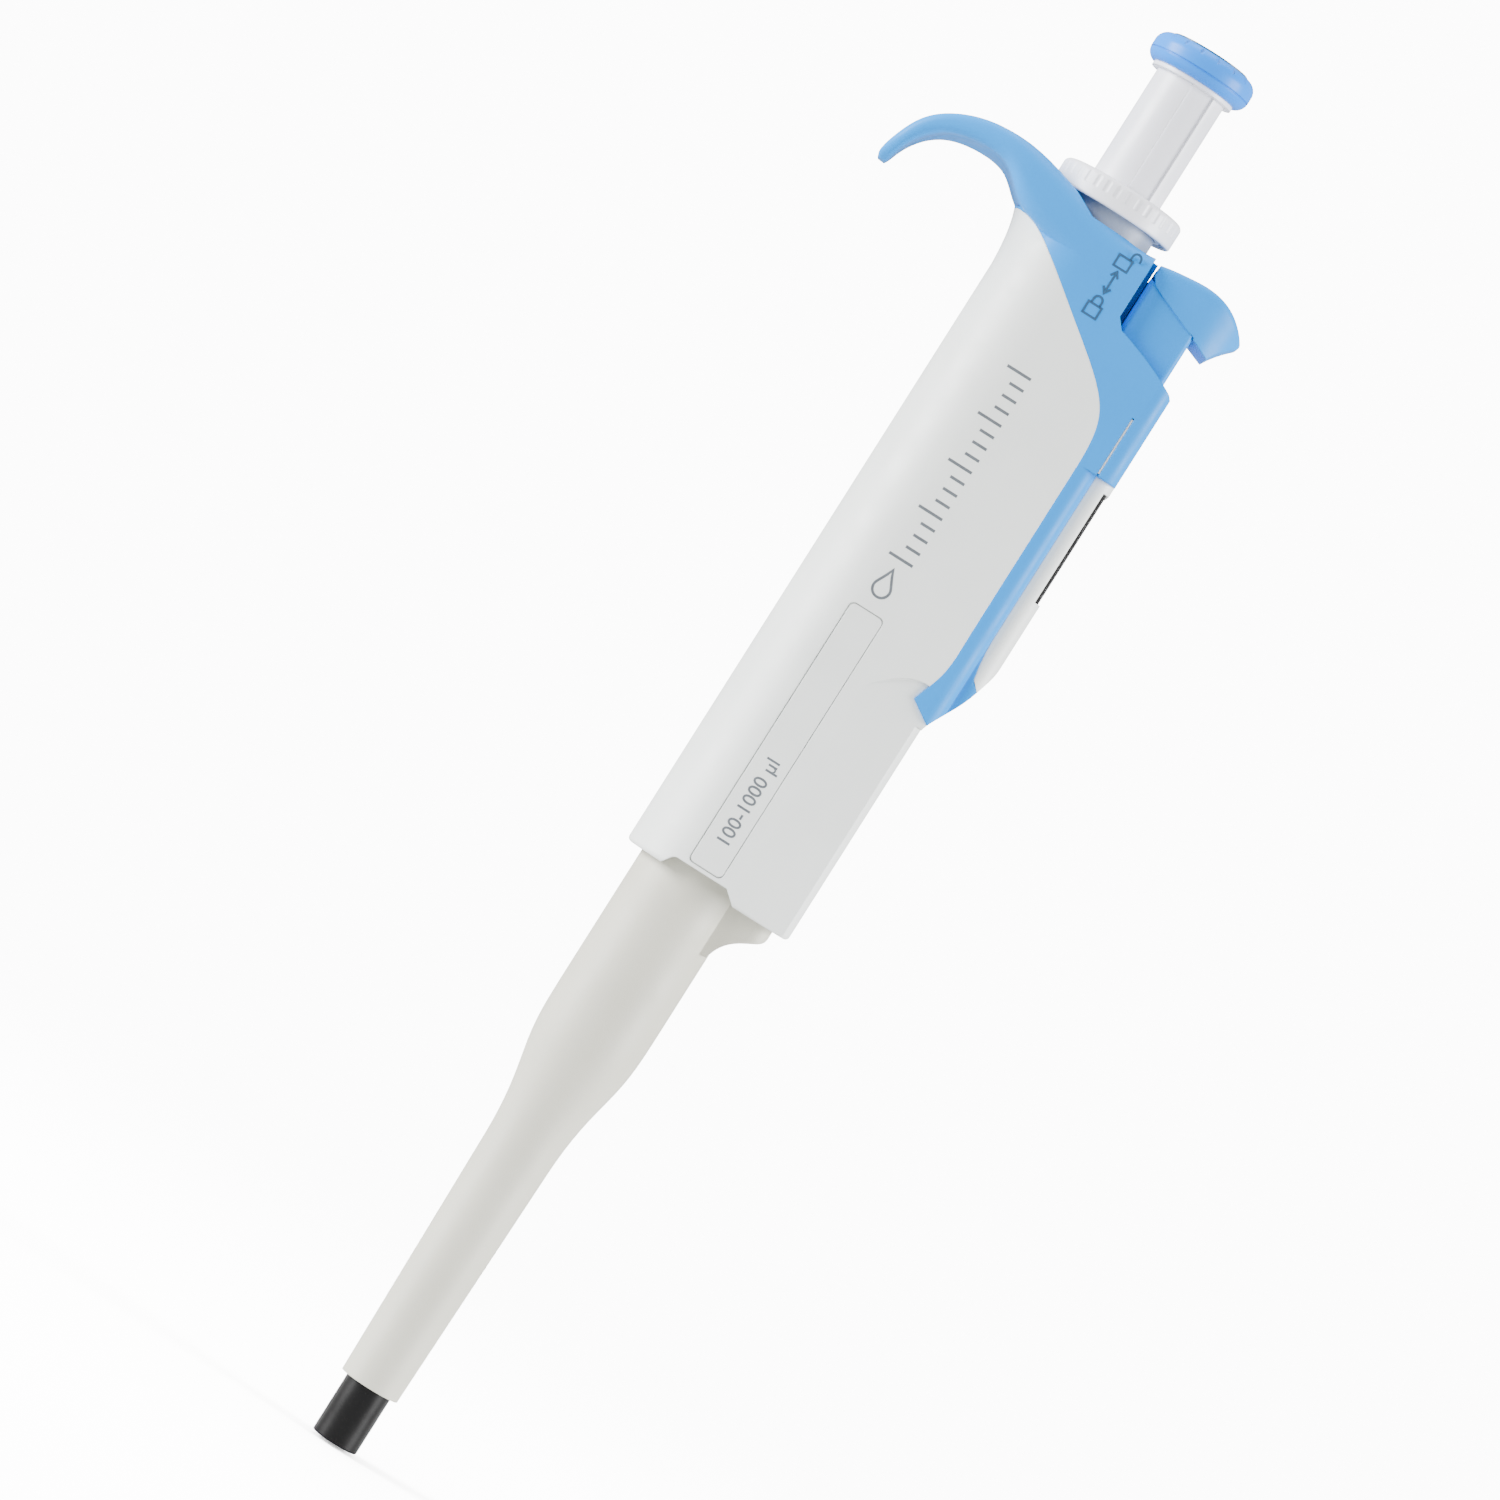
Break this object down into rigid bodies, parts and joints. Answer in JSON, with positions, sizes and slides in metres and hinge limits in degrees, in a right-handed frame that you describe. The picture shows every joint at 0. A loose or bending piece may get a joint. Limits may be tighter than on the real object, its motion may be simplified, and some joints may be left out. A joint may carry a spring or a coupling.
{
  "type": "adjustable micropipette",
  "caption": "Hand-held adjustable micropipette with push-button plunger, digit window, volume lock ring, finger hook and tip ejector that slides a barrel down a tapered nose.",
  "frame": {"origin": "centre of the nose's open end, where the disposable tip goes on", "axes": "+Z along the pipette from nose to push button, +X towards the display window and the ejector button, -X towards the finger hook, +Y across the thickness"},
  "size_m": [0.0598, 0.022, 0.2402],
  "materials": {
    "white_shell": "satin",
    "head_blue": "satin",
    "cap_blue": "satin",
    "cap_teal": "gloss",
    "ring_white": "satin",
    "neck_grey": "satin",
    "sleeve_grey": "matte",
    "nose_black": "gloss",
    "label_white": "matte",
    "window_clear": "polished",
    "wheel_black": "matte",
    "mechanism_plastic": "natural acetal",
    "steel": "ground",
    "spring_steel": "drawn wire",
    "seal_rubber": "matte",
    "seal_ptfe": "matte",
    "brass": "turned"
  },
  "bodies": {
    "handle": {"grip_shell": "white_shell", "head_cover": "head_blue", "label_plate": "label_white", "display_bezel": "white_shell", "display_mask": "wheel_black", "window_lens": "window_clear", "tip_cone": "nose_black", "piston_seal": "seal_ptfe", "seal_o_ring": "seal_rubber", "seal_retainer": "mechanism_plastic", "nozzle_nut": "mechanism_plastic", "piston_spring": "spring_steel", "blowout_spring": "spring_steel", "blowout_ring": "steel", "chassis_tube": "mechanism_plastic", "neck_collar": "neck_grey", "calibration_ring": "brass", "counter_frame": "mechanism_plastic", "counter_screws": "steel", "counter_shaft": "steel", "transfer_shaft": "steel", "ejector_spring": "spring_steel"},
    "dial": {"drive_tube": "mechanism_plastic", "dial_gear": "mechanism_plastic"},
    "plunger": {"plunger_sleeve": "ring_white", "button_cap": "cap_blue", "cap_insert": "cap_teal", "push_rod": "steel"},
    "piston": {"piston": "steel", "piston_head": "mechanism_plastic"},
    "stop_nut": {"stop_nut": "brass"},
    "lock_ring": {"lock_ring": "ring_white"},
    "ejector": {"ejector_button": "head_blue", "ejector_stem": "head_blue", "ejector_bar": "steel", "ejector_sleeve": "sleeve_grey"},
    "units_wheel": {"counter_gear": "mechanism_plastic", "number_wheel_1": "wheel_black"},
    "tens_wheel": {"number_wheel_2": "wheel_black"},
    "hundreds_wheel": {"number_wheel_3": "wheel_black"},
    "thousands_wheel": {"number_wheel_4": "wheel_black"},
    "tens_pinion": {"transfer_pinion_1": "mechanism_plastic"},
    "hundreds_pinion": {"transfer_pinion_2": "mechanism_plastic"},
    "thousands_pinion": {"transfer_pinion_3": "mechanism_plastic"}
  },
  "joints": [
    {"name": "volume_dial", "type": "hinge", "parent": "handle", "child": "dial", "pos_m": [0, 0, 0.15], "axis": [0, 0, 1], "range_deg": [-11520, 14400]},
    {"name": "plunger_press", "type": "slide", "parent": "dial", "child": "plunger", "axis": [0, 0, -1], "range_m": [0, 0.0155], "stiffness_N_per_m": 500, "springref_m": -0.006},
    {"name": "piston_slide", "type": "slide", "parent": "handle", "child": "piston", "axis": [0, 0, -1], "range_m": [0, 0.0155], "deforming": ["piston_spring"]},
    {"name": "volume_stop", "type": "slide", "parent": "handle", "child": "stop_nut", "axis": [0, 0, 1], "range_m": [-0.00621, 0.00776]},
    {"name": "ring_lock", "type": "slide", "parent": "handle", "child": "lock_ring", "axis": [0, 0, -1], "range_m": [0, 0.002]},
    {"name": "ejector_press", "type": "slide", "parent": "handle", "child": "ejector", "axis": [0, 0, -1], "range_m": [0, 0.0075], "stiffness_N_per_m": 400, "springref_m": -0.005, "deforming": ["ejector_spring"]},
    {"name": "units_turn", "type": "hinge", "parent": "handle", "child": "units_wheel", "pos_m": [0.0135, 0, 0.16], "axis": [0, 0, 1], "range_deg": [-18009, 14407.2]},
    {"name": "tens_turn", "type": "hinge", "parent": "handle", "child": "tens_wheel", "pos_m": [0.0135, 0, 0.165], "axis": [0, 0, 1], "range_deg": [-1800.9, 1440.8]},
    {"name": "hundreds_turn", "type": "hinge", "parent": "handle", "child": "hundreds_wheel", "pos_m": [0.0135, 0, 0.169], "axis": [0, 0, 1], "range_deg": [-180.1, 144.1]},
    {"name": "thousands_turn", "type": "hinge", "parent": "handle", "child": "thousands_wheel", "pos_m": [0.0135, 0, 0.174], "axis": [0, 0, 1], "range_deg": [-18.1, 14.5]},
    {"name": "tens_pinion_turn", "type": "hinge", "parent": "handle", "child": "tens_pinion", "pos_m": [0.00981, -0.00528, 0.1632], "axis": [0, 0, 1], "range_deg": [-3601.8, 4502.3]},
    {"name": "hundreds_pinion_turn", "type": "hinge", "parent": "handle", "child": "hundreds_pinion", "pos_m": [0.00981, -0.00528, 0.1677], "axis": [0, 0, 1], "range_deg": [-360.2, 450.3]},
    {"name": "thousands_pinion_turn", "type": "hinge", "parent": "handle", "child": "thousands_pinion", "pos_m": [0.00981, -0.00528, 0.1722], "axis": [0, 0, 1], "range_deg": [-36.1, 45.1]}
  ],
  "couplings": [
    {"joint": "piston_slide", "follows": "plunger_press", "ratio": 1},
    {"joint": "volume_stop", "follows": "volume_dial", "m_per_rad": 0.000030836},
    {"joint": "units_turn", "follows": "volume_dial", "ratio": -1.25},
    {"joint": "tens_turn", "follows": "volume_dial", "ratio": -0.125},
    {"joint": "hundreds_turn", "follows": "volume_dial", "ratio": -0.0125},
    {"joint": "thousands_turn", "follows": "volume_dial", "ratio": -0.00125},
    {"joint": "tens_pinion_turn", "follows": "volume_dial", "ratio": 0.3125},
    {"joint": "hundreds_pinion_turn", "follows": "volume_dial", "ratio": 0.03125},
    {"joint": "thousands_pinion_turn", "follows": "volume_dial", "ratio": 0.003125}
  ]
}
